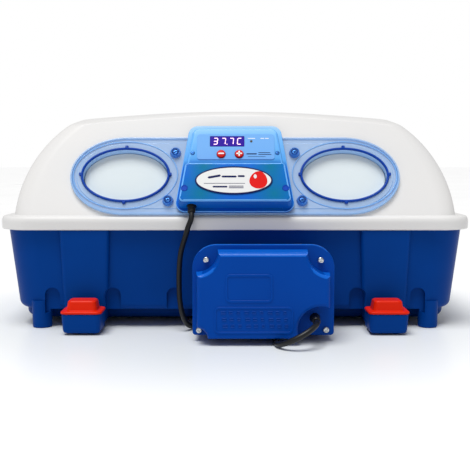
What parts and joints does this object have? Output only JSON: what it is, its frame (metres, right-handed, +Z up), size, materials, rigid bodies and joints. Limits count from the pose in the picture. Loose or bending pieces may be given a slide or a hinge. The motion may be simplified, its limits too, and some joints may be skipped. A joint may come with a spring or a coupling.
{
  "type": "egg incubator",
  "caption": "Table-top egg incubator: moulded base with sliding egg tray and geared motor box, domed lift-off lid with windows, control unit, fan and heater.",
  "frame": {"origin": "middle of the footprint on the table, mains leads left out", "axes": "+X to the right seen from the front, +Y to the back, +Z up; the control unit and the motor box face -Y"},
  "size_m": [0.62, 0.5483, 0.2888],
  "materials": {
    "tub_blue": "moulded deep blue plastic",
    "motor_blue": "moulded blue ABS, satin",
    "lid_white": "white polystyrene, faintly translucent, satin",
    "panel_blue": "tinted clear blue plastic, gloss",
    "ring_blue": "dark blue gasket, gloss",
    "housing_blue": "tinted clear blue plastic, gloss",
    "pane_clear": "clear double pane, faintly blue",
    "cap_orange": "moulded orange-red plastic",
    "button_red": "red plastic, gloss",
    "cord_black": "black PVC, satin",
    "screw_steel": "zinc-plated steel",
    "motor_grey": "grey zinc-plated motor case",
    "board_green": "glass-fibre circuit board",
    "label_blue": "printed pale-blue film",
    "screen_dark": "violet display filter with lit digits",
    "inner_white": "white polypropylene",
    "badge_white": "printed oval plate with a dark blue rim",
    "fan_black": "black moulded nylon",
    "heater_steel": "stainless sheath"
  },
  "bodies": {
    "base": {"base_tub": "tub_blue", "control_cord_coil": "cord_black", "control_cord_lower": "cord_black", "control_plug": "cord_black", "cover_screw_1": "screw_steel", "cover_screw_2": "screw_steel", "cover_screw_3": "screw_steel", "cover_screw_4": "screw_steel", "egg_floor": "inner_white", "gear_motor": "motor_grey", "motor_box_back": "motor_blue", "motor_box_cover": "motor_blue", "motor_cord": "cord_black", "motor_cord_coil": "cord_black", "motor_cord_relief": "cord_black", "motor_plug": "cord_black"},
    "lid": {"lid_shell": "lid_white", "window_panel": "panel_blue", "window_ring_left": "ring_blue", "window_ring_right": "ring_blue", "window_pane_left": "pane_clear", "window_pane_right": "pane_clear", "panel_screw_1": "screw_steel", "panel_screw_2": "screw_steel", "panel_screw_3": "screw_steel", "panel_screw_4": "screw_steel", "control_housing": "housing_blue", "control_base": "panel_blue", "circuit_board": "board_green", "control_label": "label_blue", "display": "screen_dark", "control_screw_1": "screw_steel", "control_screw_2": "screw_steel", "control_screw_3": "screw_steel", "control_screw_4": "screw_steel", "badge": "badge_white", "control_cord_relief": "cord_black", "fan_motor": "motor_grey", "fan_guard": "inner_white", "heater": "heater_steel", "temperature_sensor": "heater_steel", "control_cord_upper": "cord_black"},
    "fan": {"fan_rotor": "fan_black"},
    "minus_button": {"button_minus": "button_red"},
    "plus_button": {"button_plus": "button_red"},
    "tray": {"egg_tray": "inner_white", "egg_divider_1": "inner_white", "egg_divider_2": "inner_white", "egg_divider_3": "inner_white", "egg_divider_4": "inner_white", "egg_divider_5": "inner_white", "egg_divider_6": "inner_white", "egg_divider_7": "inner_white", "egg_divider_8": "inner_white"},
    "drive": {"drive_pinion": "inner_white", "drive_shaft": "screw_steel"},
    "cap_left": {"filler_cap_left": "cap_orange"},
    "cap_right": {"filler_cap_right": "cap_orange"}
  },
  "joints": [
    {"name": "lid_lift", "type": "slide", "parent": "base", "child": "lid", "axis": [0, 0, 1], "range_m": [0, 0.12]},
    {"name": "cap_left_pull", "type": "slide", "parent": "base", "child": "cap_left", "axis": [0, 0, 1], "range_m": [0, 0.025]},
    {"name": "cap_right_pull", "type": "slide", "parent": "base", "child": "cap_right", "axis": [0, 0, 1], "range_m": [0, 0.025]},
    {"name": "minus_press", "type": "slide", "parent": "lid", "child": "minus_button", "axis": [0, 0.8829, -0.4695], "range_m": [0, 0.0008], "stiffness_N_per_m": 400, "springref_m": -0.0005},
    {"name": "plus_press", "type": "slide", "parent": "lid", "child": "plus_button", "axis": [0, 0.8829, -0.4695], "range_m": [0, 0.0008], "stiffness_N_per_m": 400, "springref_m": -0.0005},
    {"name": "fan_spin", "type": "hinge", "parent": "lid", "child": "fan", "pos_m": [0, 0.045, 0.25], "axis": [0, 0, 1], "continuous": true},
    {"name": "tray_slide", "type": "slide", "parent": "base", "child": "tray", "axis": [1, 0, 0], "range_m": [-0.02, 0.02]},
    {"name": "pinion_turn", "type": "hinge", "parent": "base", "child": "drive", "pos_m": [0.034, -0.09, 0.082], "axis": [0, 1, 0], "range_deg": [-77, 77]}
  ],
  "couplings": [
    {"joint": "pinion_turn", "follows": "tray_slide", "rad_per_m": -66.667}
  ]
}
